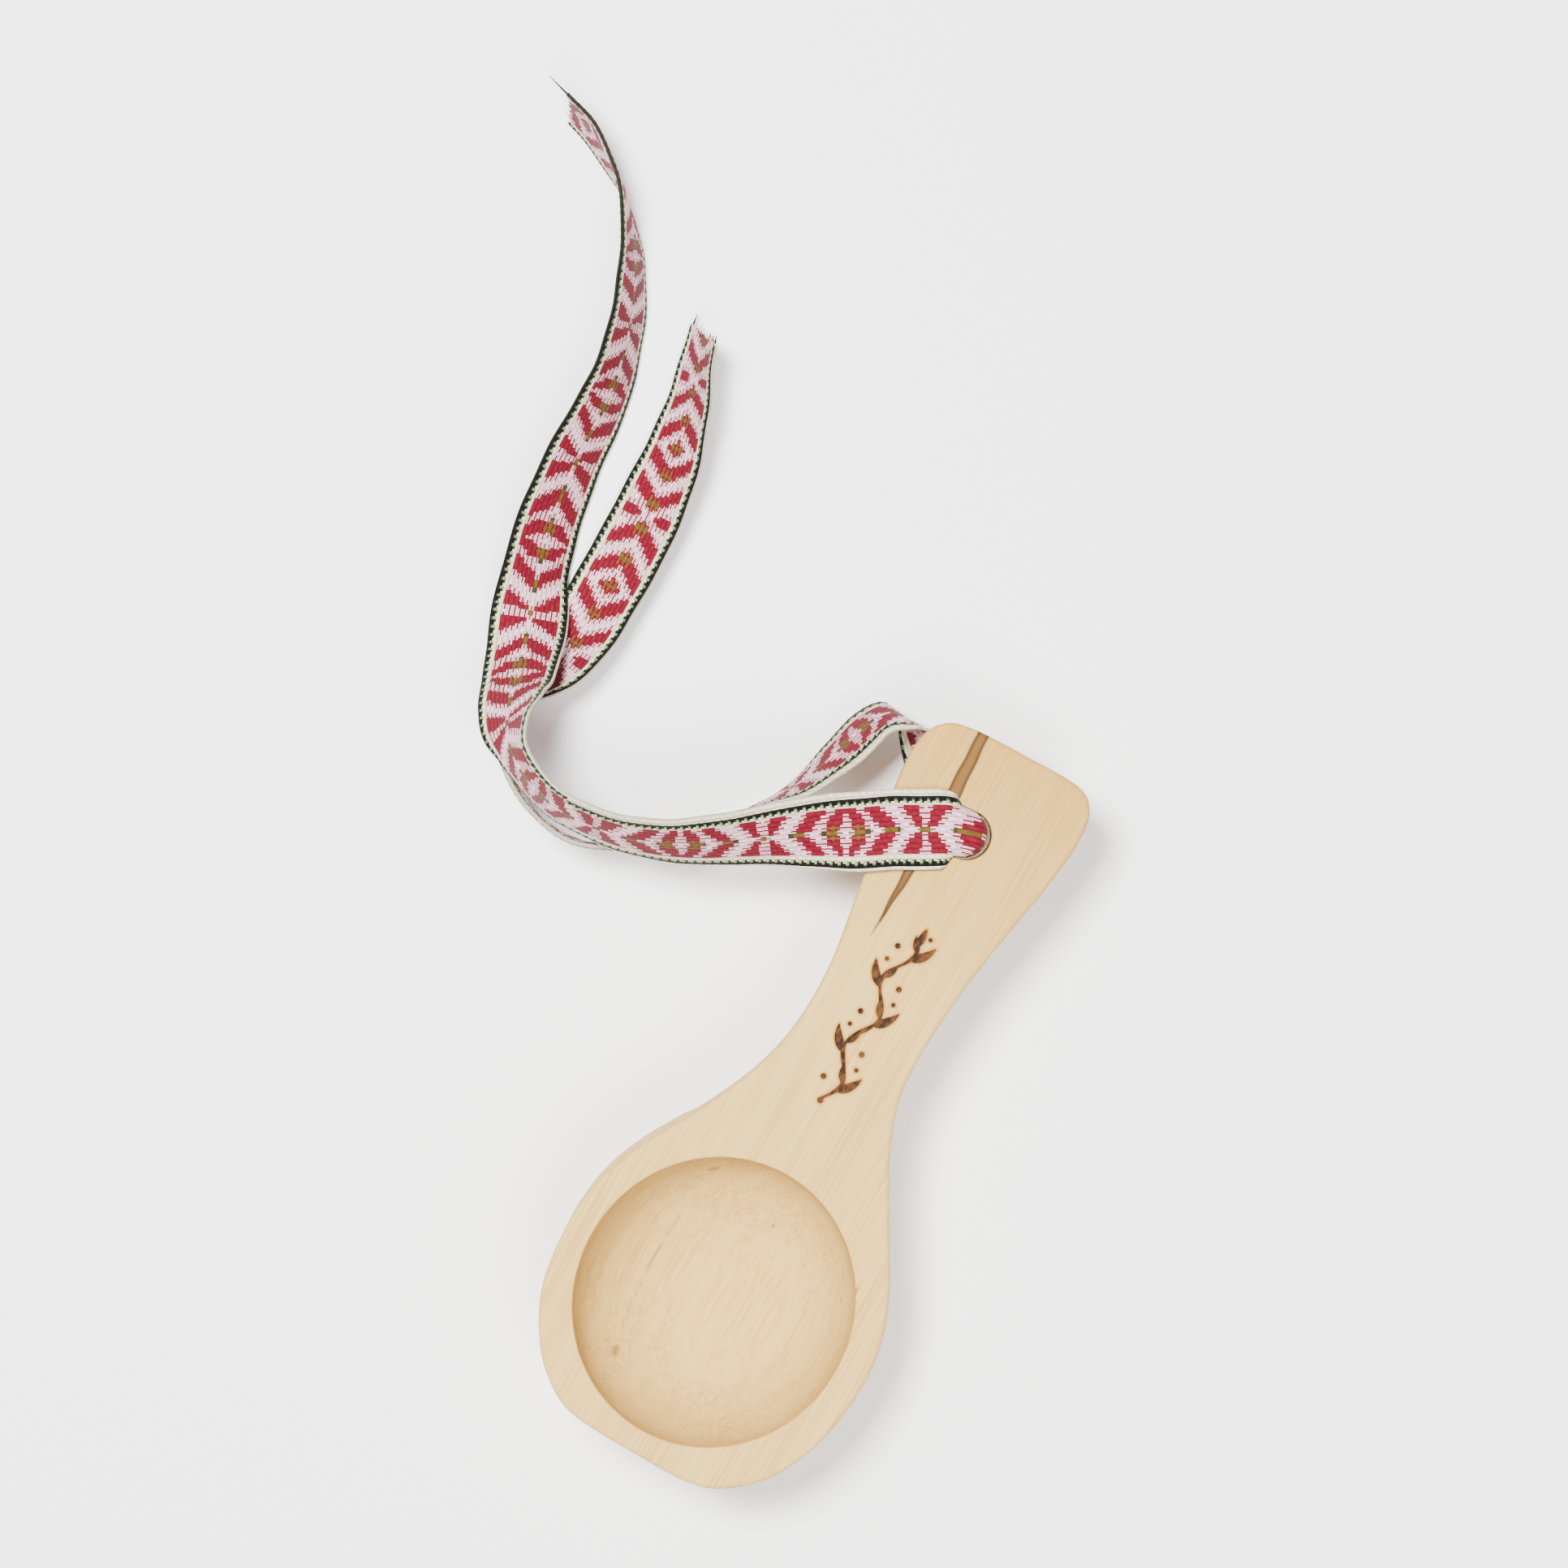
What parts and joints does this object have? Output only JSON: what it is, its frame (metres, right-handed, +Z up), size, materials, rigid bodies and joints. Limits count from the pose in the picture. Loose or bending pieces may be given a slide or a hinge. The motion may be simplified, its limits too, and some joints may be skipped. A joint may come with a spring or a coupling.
{
  "type": "wooden coffee scoop",
  "caption": "One-piece birch coffee scoop with a round hollow and flat handle, a burnt ornament, and a patterned woven ribbon through its hanging hole",
  "frame": {"origin": "middle of the flat foot under the bowl, straight below the middle of the hollow", "axes": "+Z up out of the hollow, +Y from the bowl to the end of the handle, +X to the right seen from above"},
  "size_m": [0.1463, 0.1863, 0.0307],
  "materials": {
    "birch": "sanded, unvarnished birch with a pale lengthwise grain",
    "woven_ribbon": "jacquard-woven cotton and polyester band in red, white, gold and dark green"
  },
  "bodies": {
    "scoop_body": {"scoop": "birch"},
    "ribbon_body": {"ribbon": "woven_ribbon"}
  },
  "joints": [
    {"name": "ribbon_swing", "type": "hinge", "parent": "scoop_body", "child": "ribbon_body", "pos_m": [-0.0019, 0.0851, 0.02], "axis": [0, 0, 1], "range_deg": [-12, 12]}
  ]
}
